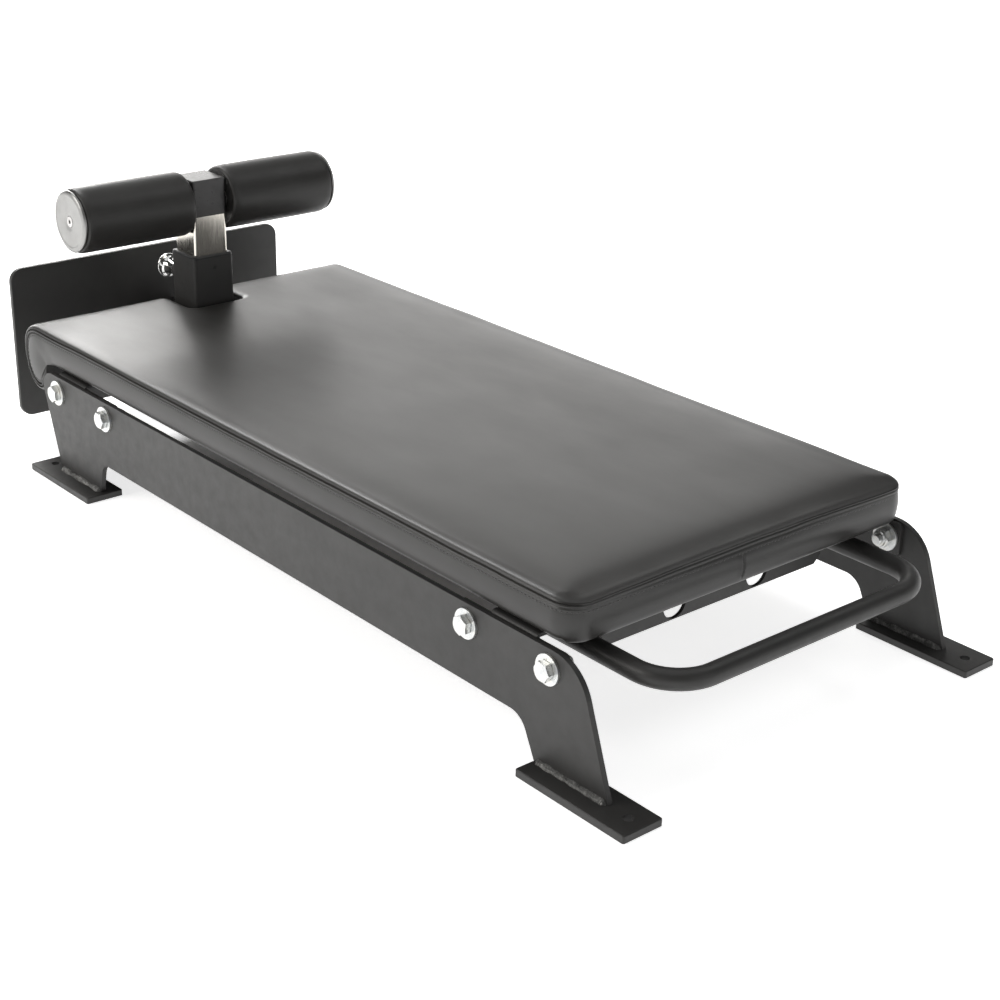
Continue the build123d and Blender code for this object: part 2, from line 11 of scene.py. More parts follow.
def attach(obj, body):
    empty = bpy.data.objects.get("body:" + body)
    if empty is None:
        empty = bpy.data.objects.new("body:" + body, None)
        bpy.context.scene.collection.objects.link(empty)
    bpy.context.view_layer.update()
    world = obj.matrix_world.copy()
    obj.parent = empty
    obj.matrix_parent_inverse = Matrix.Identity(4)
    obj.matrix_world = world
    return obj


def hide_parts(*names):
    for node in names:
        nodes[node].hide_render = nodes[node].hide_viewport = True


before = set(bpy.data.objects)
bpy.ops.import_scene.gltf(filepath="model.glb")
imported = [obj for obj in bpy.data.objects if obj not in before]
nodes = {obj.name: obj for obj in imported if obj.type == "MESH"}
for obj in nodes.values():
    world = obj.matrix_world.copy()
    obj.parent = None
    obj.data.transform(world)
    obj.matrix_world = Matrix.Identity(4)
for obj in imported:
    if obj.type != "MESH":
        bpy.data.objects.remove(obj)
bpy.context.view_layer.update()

MM = 0.001
rng = random.Random(7)

# ------------------------------------------------------------------ dimensions
# All in millimetres, as in the CAD source.
PAD_HALF = 243.5
PAD_TOP = 186.0
PAD_UNDER = 139.2
PAD_FRONT = 525.0
ROLL_START = -502.0
PAD_CORNER = 28.0
NOTCH_HALF = 42.0
NOTCH_FRONT = -452.0
NOTCH_CORNER = 12.0
SEAM_Y = -14.0
BOARD_REAR, BOARD_FRONT, BOARD_HALF, BOARD_TOP = -440.0, 506.0, 232.0, 153.0
BOLT_XS = (-443.0, -323.0, 384.0, 504.0)
BOLT_Z = 113.5
WASHER, FLANGE = 2.5, 4.0
PLATE_OUT, PLATE_IN = 250.0, 244.0
FOOT_TOP = 8.0
FOOT_WELD_SPANS = ((-444.7, -348.0), (491.0, 589.0))
CHEEK_WELD_X, CHEEK_WELD_Y, CHEEK_WELD_Z = -631.0, 36.0, (50.0, 135.0)
AXIS_X, AXIS_Z = -490.0, 318.5
ROLLER_START, ROLLER_END, ROLLER_RADIUS, ROLLER_BORE = 28.5, 188.0, 42.25, 19.0
CAP_SEAT = 188.5
# Length over which the seam fades out before the end of the rear roll.
FADE = 30.0


# ------------------------------------------------------------ material helpers
class Mat:
    """A node material being wired up around one Principled shader."""

    def __init__(self, name, base, rough, metal=0.0, **sockets):
        self.mat = bpy.data.materials.new(name)
        self.mat.use_nodes = True
        self.nt = self.mat.node_tree
        self.bsdf = self.nt.nodes["Principled BSDF"]
        self.bsdf.inputs["Base Color"].default_value = (*base, 1)
        self.bsdf.inputs["Roughness"].default_value = rough
        self.bsdf.inputs["Metallic"].default_value = metal
        for key, value in sockets.items():
            self.bsdf.inputs[key.replace("_", " ")].default_value = value
        self.coord = self.nt.nodes.new("ShaderNodeTexCoord")
        self.normal = None

    def node(self, kind, **settings):
        made = self.nt.nodes.new(kind)
        for key, value in settings.items():
            setattr(made, key, value)
        return made

    def link(self, a, b):
        self.nt.links.new(a, b)

    def place(self, scale=(1, 1, 1), offset=(0, 0, 0)):
        """Object coordinates, stretched, in metres."""
        mapping = self.node("ShaderNodeMapping")
        mapping.inputs["Scale"].default_value = scale
        mapping.inputs["Location"].default_value = offset
        self.link(self.coord.outputs["Object"], mapping.inputs["Vector"])
        return mapping.outputs["Vector"]

    def noise(self, scale, detail=2.0, rough=0.5, stretch=(1, 1, 1), distortion=0.0):
        made = self.node("ShaderNodeTexNoise")
        made.inputs["Scale"].default_value = scale
        made.inputs["Detail"].default_value = detail
        made.inputs["Roughness"].default_value = rough
        made.inputs["Distortion"].default_value = distortion
        self.link(self.place(stretch), made.inputs["Vector"])
        return made.outputs["Fac"]

    def voronoi(self, scale, feature="F1"):
        made = self.node("ShaderNodeTexVoronoi", feature=feature)
        made.inputs["Scale"].default_value = scale
        self.link(self.place(), made.inputs["Vector"])
        return made.outputs["Distance"]

    def spread(self, value, lo, hi, in_lo=0.3, in_hi=0.7):
        """A 0-1 pattern turned into a range of numbers."""
        made = self.node("ShaderNodeMapRange")
        made.inputs["From Min"].default_value = in_lo
        made.inputs["From Max"].default_value = in_hi
        made.inputs["To Min"].default_value = lo
        made.inputs["To Max"].default_value = hi
        self.link(value, made.inputs["Value"])
        return made.outputs["Result"]

    def math(self, operation, a, b=None):
        made = self.node("ShaderNodeMath", operation=operation)
        for socket, value in zip(made.inputs, (a, b)):
            if value is None:
                continue
            if isinstance(value, (int, float)):
                socket.default_value = value
            else:
                self.link(value, socket)
        return made.outputs["Value"]

    def ramp(self, value, stops):
        made = self.node("ShaderNodeValToRGB")
        elements = made.color_ramp.elements
        while len(elements) < len(stops):
            elements.new(0.5)
        for element, (at, colour) in zip(elements, stops):
            element.position = at
            element.color = (*colour, 1)
        self.link(value, made.inputs["Fac"])
        return made.outputs["Color"]

    def colour(self, value, dark, light, lo=0.3, hi=0.7):
        self.link(self.ramp(value, [(lo, dark), (hi, light)]), self.bsdf.inputs["Base Color"])

    def roughness(self, value, lo, hi):
        self.link(self.spread(value, lo, hi), self.bsdf.inputs["Roughness"])

    def soft_edges(self, radius_mm):
        """Rounds hard edges by a fraction of a millimetre in the shading."""
        made = self.node("ShaderNodeBevel", samples=4)
        made.inputs["Radius"].default_value = radius_mm * MM
        self.normal = made.outputs["Normal"]
        self.link(self.normal, self.bsdf.inputs["Normal"])

    def bump(self, height, depth_mm, strength=1.0):
        made = self.node("ShaderNodeBump")
        made.inputs["Strength"].default_value = strength
        made.inputs["Distance"].default_value = depth_mm * MM
        self.link(height, made.inputs["Height"])
        if self.normal is not None:
            self.link(self.normal, made.inputs["Normal"])
        self.normal = made.outputs["Normal"]
        self.link(self.normal, self.bsdf.inputs["Normal"])


def powder_coat(name, dark, light, rough_lo, rough_hi):
    m = Mat(name, light, rough_hi, Specular_IOR_Level=0.45)
    m.soft_edges(0.8)
    m.colour(m.noise(9, 4, 0.6), dark, light)
    m.roughness(m.noise(60, 3, 0.6), rough_lo, rough_hi)
    m.bump(m.noise(1100, 2, 0.55), 0.05, 0.55)
    m.bump(m.noise(190, 2, 0.5), 0.08, 0.35)
    return m.mat


mat_powder = powder_coat("powder_coat_black", (0.026, 0.0255, 0.0245), (0.036, 0.0350, 0.0335), 0.40, 0.52)
mat_powder_dark = powder_coat(
    "powder_coat_bracket", (0.028, 0.0275, 0.0265), (0.038, 0.0370, 0.0355), 0.42, 0.54
)


def vinyl_material():
    m = Mat("vinyl_cover", (0.03, 0.029, 0.027), 0.40, Specular_IOR_Level=0.55)
    m.colour(m.noise(5, 4, 0.6, (1, 1.3, 1)), (0.019, 0.0183, 0.017), (0.025, 0.0239, 0.0222))
    m.roughness(m.noise(14, 4, 0.65, (0.6, 1.4, 1)), 0.37, 0.42)
    grain = m.math("ADD", m.voronoi(900, "SMOOTH_F1"), m.math("MULTIPLY", m.noise(2600, 2), 0.5))
    m.bump(grain, 0.045, 0.5)
    m.bump(m.noise(48, 5, 0.6, (0.45, 1.2, 1), 0.6), 0.22, 0.12)
    return m.mat


mat_vinyl = vinyl_material()


def thread_material():
    m = Mat("sewing_thread", (0.035, 0.034, 0.032), 0.62, Sheen_Weight=0.3)
    m.colour(m.noise(700, 2), (0.028, 0.027, 0.025), (0.05, 0.048, 0.045))
    m.bump(m.noise(3000, 2, 0.5, (1, 1, 3)), 0.08, 0.8)
    return m.mat


mat_thread = thread_material()


def roller_material():
    m = Mat("roller_cover", (0.02, 0.0195, 0.018), 0.42, Specular_IOR_Level=0.4)
    m.colour(m.noise(12, 4, 0.6), (0.025, 0.024, 0.0228), (0.033, 0.032, 0.0302))
    m.roughness(m.noise(40, 4, 0.6, (1, 0.4, 1)), 0.38, 0.5)
    m.bump(m.voronoi(1300, "SMOOTH_F1"), 0.03, 0.4)
    m.bump(m.noise(45, 3, 0.5, (1, 0.5, 1)), 0.25, 0.14)
    return m.mat


mat_roller = roller_material()


def plated(name, dark, light, rough_lo, rough_hi, brush, depth):
    """Plated or ground metal with a directional finish."""
    m = Mat(name, light, rough_lo, 1.0)
    m.soft_edges(0.5)
    m.colour(m.noise(16, 4, 0.6), dark, light)
    m.roughness(m.noise(260, 3, 0.6, brush), rough_lo, rough_hi)
    m.bump(m.noise(420, 3, 0.6, brush), depth, 0.4)
    return m.mat


mat_post = plated("nickel_chrome", (0.62, 0.59, 0.53), (0.72, 0.69, 0.63), 0.10, 0.22, (3, 3, 0.12), 0.03)
mat_knob = plated("chrome_knob", (0.74, 0.74, 0.73), (0.82, 0.82, 0.81), 0.05, 0.12, (1, 1, 1), 0.006)
mat_steel = plated("ground_steel", (0.45, 0.44, 0.43), (0.6, 0.59, 0.58), 0.22, 0.36, (1, 4, 1), 0.02)


def zinc_material():
    m = Mat("bright_zinc", (0.72, 0.73, 0.72), 0.32, 0.85)
    m.soft_edges(0.35)
    m.link(
        m.ramp(
            m.noise(85, 4, 0.65, distortion=0.4),
            [(0.30, (0.60, 0.62, 0.63)), (0.5, (0.74, 0.75, 0.74)), (0.72, (0.80, 0.78, 0.72))],
        ),
        m.bsdf.inputs["Base Color"],
    )
    m.roughness(m.noise(420, 3, 0.6), 0.24, 0.42)
    m.bump(m.noise(900, 3, 0.6), 0.035, 0.5)
    return m.mat


mat_zinc = zinc_material()


def cap_material():
    """Spun chrome: fine rings round the roller axis."""
    m = Mat("spun_chrome", (0.5, 0.5, 0.49), 0.3, 1.0)
    m.soft_edges(0.4)
    split = m.node("ShaderNodeSeparateXYZ")
    m.link(m.place(offset=(-AXIS_X * MM, 0, -AXIS_Z * MM)), split.inputs["Vector"])
    squares = [m.math("MULTIPLY", split.outputs[i], split.outputs[i]) for i in ("X", "Z")]
    radius = m.math("SQRT", m.math("ADD", *squares))
    rings = m.math("SINE", m.math("MULTIPLY", radius, 9000.0))
    m.roughness(m.math("ADD", m.math("MULTIPLY", rings, 0.14), m.noise(80, 3)), 0.32, 0.42)
    m.colour(m.noise(60, 3, 0.5), (0.29, 0.288, 0.282), (0.33, 0.328, 0.321))
    m.bump(rings, 0.012, 0.5)
    m.bump(m.noise(300, 2), 0.01, 0.2)
    return m.mat


mat_cap = cap_material()


def moulded(name, dark, light, rough_lo, rough_hi):
    """Moulded plastic with a fine spark-eroded texture."""
    m = Mat(name, light, rough_hi)
    m.soft_edges(0.6)
    m.colour(m.noise(30, 3, 0.6), dark, light)
    m.roughness(m.noise(120, 3, 0.6), rough_lo, rough_hi)
    m.bump(m.voronoi(1500), 0.02, 0.4)
    return m.mat


mat_nylon = moulded("black_nylon", (0.013, 0.013, 0.013), (0.02, 0.02, 0.02), 0.32, 0.45)
mat_head = moulded("head_block_black", (0.034, 0.033, 0.033), (0.045, 0.044, 0.043), 0.26, 0.36)


def weld_material():
    m = Mat("weld_bead", (0.3, 0.3, 0.29), 0.5, 0.55)
    m.link(
        m.ramp(
            m.noise(140, 4, 0.7),
            [(0.3, (0.045, 0.045, 0.044)), (0.52, (0.13, 0.13, 0.125)), (0.78, (0.36, 0.35, 0.34))],
        ),
        m.bsdf.inputs["Base Color"],
    )
    m.roughness(m.noise(300, 3, 0.6), 0.35, 0.62)
    m.bump(m.noise(700, 3, 0.6), 0.12, 0.6)
    return m.mat


mat_weld = weld_material()


def plywood_material():
    """Black-stained board: long grain on the faces, ply lines on the edges."""
    m = Mat("plywood", (0.03, 0.026, 0.022), 0.7)
    grain = m.noise(60, 5, 0.65, (0.12, 1.6, 0.4), 1.2)
    split = m.node("ShaderNodeSeparateXYZ")
    m.link(m.coord.outputs["Object"], split.inputs["Vector"])
    plies = m.math("SINE", m.math("MULTIPLY", split.outputs["Z"], 4200.0))
    mix = m.math("ADD", grain, m.math("MULTIPLY", plies, 0.04))
    m.colour(mix, (0.016, 0.0145, 0.013), (0.040, 0.033, 0.027), 0.32, 0.68)
    m.roughness(grain, 0.6, 0.8)
    m.bump(m.noise(420, 4, 0.6, (0.08, 2, 2)), 0.12, 0.5)
    return m.mat


mat_ply = plywood_material()


# --------------------------------------------------------------- mesh helpers
def make_object(name, verts_mm, faces, mat, body, smooth_deg=40):
    """A mesh object from millimetre points, smooth-shaded up to an angle."""
    mesh = bpy.data.meshes.new(name)
    points = (np.asarray(verts_mm, float) * MM).tolist()
    mesh.from_pydata(points, [], faces)
    mesh.validate()
    mesh.update()
    obj = bpy.data.objects.new(name, mesh)
    bpy.context.scene.collection.objects.link(obj)
    obj.data.materials.append(mat)
    bm = bmesh.new()
    bm.from_mesh(mesh)
    bmesh.ops.remove_doubles(bm, verts=bm.verts, dist=1e-6)
    bmesh.ops.recalc_face_normals(bm, faces=bm.faces)
    bm.to_mesh(mesh)
    bm.free()
    mesh.shade_smooth()
    if smooth_deg < 180:
        mesh.set_sharp_from_angle(angle=math.radians(smooth_deg))
    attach(obj, body)
    return obj


class Build:
    """Collects vertices and faces for one mesh."""

    def __init__(self):
        self.verts, self.faces = [], []

    def grid(self, rows, close_u=False, close_v=False, cap_start=False, cap_end=False):
        """Rows of equally many points joined by quads; a row may close on itself."""
        start = len(self.verts)
        n = len(rows[0])
        for row in rows:
            self.verts.extend([tuple(p) for p in row])
        count = len(rows)
        for i in range(count if close_v else count - 1):
            a, b = start + i * n, start + (i + 1) % count * n
            for j in range(n if close_u else n - 1):
                k = (j + 1) % n
                self.faces.append((a + j, a + k, b + k, b + j))
        if cap_start:
            self.faces.append(tuple(range(start, start + n))[::-1])
        if cap_end:
            last = start + (count - 1) * n
            self.faces.append(tuple(range(last, last + n)))


# ---------------------------------------------------------------------- pad
def bezier(p0, p1, p2, p3, steps):
    t = np.linspace(0, 1, steps + 1)[:, None]
    p0, p1, p2, p3 = map(np.array, (p0, p1, p2, p3))
    return (1 - t) ** 3 * p0 + 3 * (1 - t) ** 2 * t * p1 + 3 * (1 - t) * t**2 * p2 + t**3 * p3


def pad_profile():
    """Side view of the cover, from the front edge back, round the rear roll and up to the board."""
    parts = [
        np.array([[PAD_FRONT, PAD_TOP], [ROLL_START, PAD_TOP]], float),
        bezier((ROLL_START, PAD_TOP), (-530, PAD_TOP), (-544, 172), (-544, 150), 40),
        bezier((-544, 150), (-544, 122), (-530, 97), (-507, 97), 40),
        bezier((-507, 97), (-494, 97), (-487, 104), (-486, 114), 20),
        np.array([[-486, 114], [-482, PAD_UNDER]], float),
    ]
    dense = [parts[0][0]]
    for part in parts:
        for a, b in zip(part[:-1], part[1:]):
            steps = max(1, int(np.hypot(*(b - a)) / 0.5))
            dense.extend(a + (b - a) * k / steps for k in range(1, steps + 1))
    dense = np.array(dense)
    along = np.concatenate([[0], np.cumsum(np.hypot(*np.diff(dense, axis=0).T))])
    tangent = np.gradient(dense, axis=0)
    tangent /= np.linalg.norm(tangent, axis=1)[:, None]
    kernel = np.ones(9) / 9
    padded = np.pad(tangent, ((4, 4), (0, 0)), "edge")
    tangent = np.stack([np.convolve(padded[:, i], kernel, "valid") for i in (0, 1)], 1)
    tangent /= np.linalg.norm(tangent, axis=1)[:, None]
    return along, dense, tangent


PROFILE_S, PROFILE_P, PROFILE_T = pad_profile()
S_END = PROFILE_S[-1]
S_ROLL = PAD_FRONT - ROLL_START
S_NOTCH = PAD_FRONT - NOTCH_FRONT
PAD_CENTRE = np.array([-482.0, PAD_UNDER])


def on_profile(s):
    """Point and outward normal of the cover at a distance along it, straight on ahead of the front edge."""
    s = np.asarray(s, float)
    x = np.interp(s, PROFILE_S, PROFILE_P[:, 0])
    z = np.interp(s, PROFILE_S, PROFILE_P[:, 1])
    tx = np.interp(s, PROFILE_S, PROFILE_T[:, 0])
    tz = np.interp(s, PROFILE_S, PROFILE_T[:, 1])
    x = np.where(s < 0, PAD_FRONT - s, x)
    return np.stack([x, z], -1), np.stack([tz, -tx], -1)


def lift(s, y, depth):
    """Cover coordinates to millimetres in the bench's frame."""
    p, n = on_profile(s)
    p = p - n * np.asarray(depth)[..., None]
    return np.stack([p[..., 0], np.broadcast_to(y, p[..., 0].shape), p[..., 1]], -1)


def spaced(a, b, step):
    return np.linspace(a, b, max(2, int(round(abs(b - a) / step)) + 1))


def side_stations():
    """Stations along one side: even on the flat, closer round the rear roll."""
    flat = spaced(PAD_CORNER, S_ROLL - 20, 4.0)
    roll = spaced(S_ROLL - 20, S_END, 3.0)
    return np.concatenate([flat, roll[1:]])


def outer_chain():
    """The cover's outer edge: point, outward direction and corner fraction, left rear to right rear."""
    chain = []
    stations = side_stations()
    for s in stations[::-1]:
        chain.append((s, -PAD_HALF, 0.0, -1.0))
    steps = 16
    for k in range(1, steps):
        a = math.pi / 2 * k / steps
        s = PAD_CORNER - PAD_CORNER * math.sin(a)
        y = -PAD_HALF + PAD_CORNER - PAD_CORNER * math.cos(a)
        chain.append((s, y, -math.sin(a), -math.cos(a)))
    ys = list(spaced(-PAD_HALF + PAD_CORNER, SEAM_Y - 4, 4.5))
    ys += [SEAM_Y + step for step in (-2.6, -1.6, -0.8, 0, 0.8, 1.6, 2.6)]
    ys += list(spaced(SEAM_Y + 4, PAD_HALF - PAD_CORNER, 4.5))
    for y in ys:
        chain.append((0.0, y, -1.0, 0.0))
    for k in range(1, steps):
        a = math.pi / 2 * k / steps
        s = PAD_CORNER - PAD_CORNER * math.cos(a)
        y = PAD_HALF - PAD_CORNER + PAD_CORNER * math.sin(a)
        chain.append((s, y, -math.cos(a), math.sin(a)))
    for s in stations:
        chain.append((s, PAD_HALF, 0.0, 1.0))
    return np.array(chain)


def notch_chain():
    """The edge round the socket notch, right rear to left rear."""
    chain = []
    stations = np.concatenate(
        [spaced(S_NOTCH + NOTCH_CORNER, S_ROLL - 20, 3.0), spaced(S_ROLL - 20, S_END, 3.0)[1:]]
    )
    for s in stations[::-1]:
        chain.append((s, NOTCH_HALF, 0.0, -1.0))
    steps = 8
    for k in range(1, steps):
        a = math.pi / 2 * k / steps
        s = S_NOTCH + NOTCH_CORNER - NOTCH_CORNER * math.sin(a)
        y = NOTCH_HALF - NOTCH_CORNER + NOTCH_CORNER * math.cos(a)
        chain.append((s, y, math.sin(a), -math.cos(a)))
    for y in spaced(NOTCH_HALF - NOTCH_CORNER, -NOTCH_HALF + NOTCH_CORNER, 4.0):
        chain.append((S_NOTCH, y, 1.0, 0.0))
    for k in range(1, steps):
        a = math.pi / 2 * k / steps
        s = S_NOTCH + NOTCH_CORNER - NOTCH_CORNER * math.cos(a)
        y = -NOTCH_HALF + NOTCH_CORNER - NOTCH_CORNER * math.sin(a)
        chain.append((s, y, math.cos(a), math.sin(a)))
    for s in stations:
        chain.append((s, -NOTCH_HALF, 0.0, 1.0))
    return np.array(chain)


SEAM_DROP = 5.0
# How far in from the wall the top starts to fall, at the sides and at the front.
SIDE_LEN, FRONT_LEN = 11.0, 40.0
INSETS = (14.0, 11.5, 9.2, 7.2, 5.5, 4.0, 2.8, 1.8, 1.0, 0.4, 0.0)
# Section through the seam and the band under it: inset from the wall, depth below the top.
SEAM_SECTION = (
    (0.9, 5.6), (1.9, 6.2), (1.3, 6.9), (0.2, 7.3), (-0.5, 8.1), (-0.4, 8.9), (0.5, 9.5),
    (1.6, 10.0), (1.5, 10.7), (0.6, 11.6), (0.15, 12.8), (0.45, 13.6), (0.45, 14.4), (0.1, 15.2),
)


# Where the cover turns under the board: inset from the wall, height above the underside.
UNDER_ROUND = ((0.0, 9.0), (0.6, 6.8), (1.9, 4.4), (3.9, 2.3), (6.6, 0.8), (9.8, 0.0))


def edge_drop(inset, front):
    """How far the top falls towards its seam, quicker at the sides than at the front."""
    reach = SIDE_LEN + (FRONT_LEN - SIDE_LEN) * front
    power = 2.0 - 0.15 * front
    t = np.clip(1 - np.asarray(inset) / reach, 0, 1)
    return SEAM_DROP * (1 - (1 - t**power) ** (1 / power))


def chain_rows(chain, with_front_seam):
    """Rows of points from the inset border row out over the edge and down the band to the underside."""
    s, y, os_, oy = chain.T
    front = np.clip(-os_, 0, 1) ** 1.5
    late = np.clip((S_END - s) / FADE, 0, 1)
    rows = []
    for inset in INSETS:
        rows.append(lift(s - inset * os_, y - inset * oy, edge_drop(inset, front) * late))
    relief = late * (1 - 0.62 * front)
    for inset, depth in SEAM_SECTION:
        depths = depth * late
        rows.append(lift(s - inset * os_ * relief, y - inset * oy * relief, depths))
    last = rows[-1]
    base_x = np.where(s < 0, PAD_FRONT - s, np.interp(s, PROFILE_S, PROFILE_P[:, 0]))
    flat = np.clip((base_x - PAD_CENTRE[0]) / 14.0, 0, 1)
    foot_x = np.maximum(base_x, PAD_CENTRE[0])
    foot = np.stack([foot_x, y, np.full_like(s, PAD_UNDER)], -1)
    levels = 12
    for k in range(1, levels + 1):
        t = k / levels
        rows.append(last + (foot + np.array([0, 0, UNDER_ROUND[0][1]]) * flat[:, None] - last) * t)
        bulge = 1.1 * math.sin(math.pi * t) * late
        rows[-1][:, 0] -= os_ * bulge
        rows[-1][:, 1] += oy * bulge
        if with_front_seam:
            close = np.exp(-(((y - SEAM_Y - 1.5 * math.sin(3 * t)) / 0.9) ** 2)) * (os_ < -0.99)
            rows[-1][:, 0] -= 1.5 * close
            beside = np.exp(-(((abs(y - SEAM_Y) - 2.6) / 1.3) ** 2)) * (os_ < -0.99)
            rows[-1][:, 0] += 0.5 * beside
    tuck = np.where(abs(os_) > 0.5, 0.5, 1.0) if with_front_seam else np.full(len(s), 0.3)
    for inset, up in UNDER_ROUND[1:]:
        row = foot.copy()
        row[:, 0] += os_ * inset * flat * tuck
        row[:, 1] -= oy * inset * flat * tuck
        row[:, 2] += up * flat
        rows.append(row)
    return rows


def fill_plane(loops, extra=()):
    """Constrained triangulation of closed loops; returns points and triangles of the inside."""
    points, edges = [], []
    for loop in loops:
        first = len(points)
        points.extend(Vector(p) for p in loop)
        edges.extend((first + i, first + (i + 1) % len(loop)) for i in range(len(loop)))
    points.extend(Vector(p) for p in extra)
    verts, _, tris, *_ = delaunay_2d_cdt(points, edges, [], 0, 1e-5)
    return np.array([(v.x, v.y) for v in verts]), [tuple(t) for t in tris]


def inside(polygon, points):
    """Which points lie inside a polygon."""
    x, y = points[:, 0], points[:, 1]
    result = np.zeros(len(points), bool)
    px, py = polygon[:, 0], polygon[:, 1]
    j = len(polygon) - 1
    for i in range(len(polygon)):
        cross = (py[i] > y) != (py[j] > y)
        with np.errstate(divide="ignore", invalid="ignore"):
            at = (px[j] - px[i]) * (y - py[i]) / (py[j] - py[i]) + px[i]
        result ^= cross & (x < at)
        j = i
    return result


def keep_inside(points, tris, outer, holes=()):
    centres = np.array([points[list(t)].mean(0) for t in tris])
    ok = inside(outer, centres)
    for hole in holes:
        ok &= ~inside(hole, centres)
    return [t for t, good in zip(tris, ok) if good]


def pocket_outline():
    """Edge of the pocket the board sits in."""
    r = 12.0
    x0, x1, h = BOARD_REAR - 0.4, BOARD_FRONT + 0.4, BOARD_HALF + 0.4
    loop = []
    for cx, cy, a0 in ((x1 - r, h - r, 0), (x0 + r, h - r, 90), (x0 + r, -h + r, 180), (x1 - r, -h + r, 270)):
        for k in range(7):
            a = math.radians(a0 + 15 * k)
            loop.append((cx + r * math.cos(a), cy + r * math.sin(a)))
    return np.array(loop)


def build_cover():
    """The sewn cover as one closed mesh in millimetres."""
    made = Build()
    outer, notch = outer_chain(), notch_chain()
    outer_rows = chain_rows(outer, True)
    notch_rows = chain_rows(notch, False)
    made.grid(outer_rows)
    made.grid(notch_rows)

    # Top between the border rows, in cover coordinates.
    inset = INSETS[0]
    ring_outer = outer[:, :2] - inset * outer[:, 2:]
    ring_notch = notch[:, :2] - inset * notch[:, 2:]
    lip_step = 6.0
    right_lip = [(S_END, y) for y in spaced(ring_outer[-1, 1], ring_notch[0, 1], lip_step)[1:-1]]
    left_lip = [(S_END, y) for y in spaced(ring_notch[-1, 1], ring_outer[0, 1], lip_step)[1:-1]]
    loop = np.array([*map(tuple, ring_outer), *right_lip, *map(tuple, ring_notch), *left_lip])
    gs = np.arange(10.0, S_END, 6.5)
    gy = np.arange(-PAD_HALF + 8, PAD_HALF, 6.5)
    grid = np.array([(s, y + (3.25 if i % 2 else 0)) for i, s in enumerate(gs) for y in gy])
    grid = grid[inside(loop, grid)]
    tree = kdtree.KDTree(len(loop))
    for i, p in enumerate(loop):
        tree.insert((*p, 0), i)
    tree.balance()
    grid = np.array([p for p in grid if tree.find((*p, 0))[2] > 3.4])
    points, tris = fill_plane([loop], grid)
    tris = keep_inside(points, tris, loop)
    edge = np.concatenate([outer, notch])
    edge_tree = kdtree.KDTree(len(edge))
    for i, p in enumerate(edge):
        edge_tree.insert((p[0], p[1], 0), i)
    edge_tree.balance()
    depth = []
    for p in points:
        front_inset = p[0]
        near = edge_tree.find((p[0], p[1], 0))
        os_ = edge[near[1], 2]
        drop = edge_drop(near[2], max(0.0, -os_) ** 1.5)
        if abs(p[1]) < PAD_HALF - 30:
            drop = max(drop, edge_drop(front_inset, 1.0))
        depth.append(drop * np.clip((S_END - p[0]) / FADE, 0, 1))
    first = len(made.verts)
    made.verts.extend(map(tuple, lift(points[:, 0], points[:, 1], np.array(depth))))
    made.faces.extend(tuple(first + i for i in t) for t in tris)

    # Underside, with a pocket for the board.
    z = PAD_UNDER
    bottom = []

    def add_path(path):
        for p in path:
            if not bottom or np.hypot(bottom[-1][0] - p[0], bottom[-1][1] - p[1]) > 1e-3:
                bottom.append((float(p[0]), float(p[1])))

    add_path(outer_rows[-1][:, :2])
    add_path([row[-1, :2] for row in outer_rows[: len(INSETS)][::-1]])
    add_path([(PAD_CENTRE[0], y) for _, y in right_lip])
    add_path([row[0, :2] for row in notch_rows[: len(INSETS)]])
    add_path(notch_rows[-1][:, :2])
    add_path([row[-1, :2] for row in notch_rows[: len(INSETS)][::-1]])
    add_path([(PAD_CENTRE[0], y) for _, y in left_lip])
    add_path([row[0, :2] for row in outer_rows[: len(INSETS)]])
    if np.hypot(bottom[-1][0] - bottom[0][0], bottom[-1][1] - bottom[0][1]) < 1e-3:
        bottom.pop()
    bottom = np.array(bottom)
    pocket = pocket_outline()
    points, tris = fill_plane([bottom, pocket])
    tris = keep_inside(points, tris, bottom, [pocket])
    first = len(made.verts)
    made.verts.extend((x, y, z) for x, y in points)
    made.faces.extend(tuple(first + i for i in t) for t in tris)
    top = BOARD_TOP + 0.3
    made.grid([[(x, y, z) for x, y in pocket], [(x, y, top) for x, y in pocket]], close_u=True, cap_end=True)
    return made, outer


VOXEL = 0.006
PUFF_FRAMES = 20
PUFF_CAP = 4.0


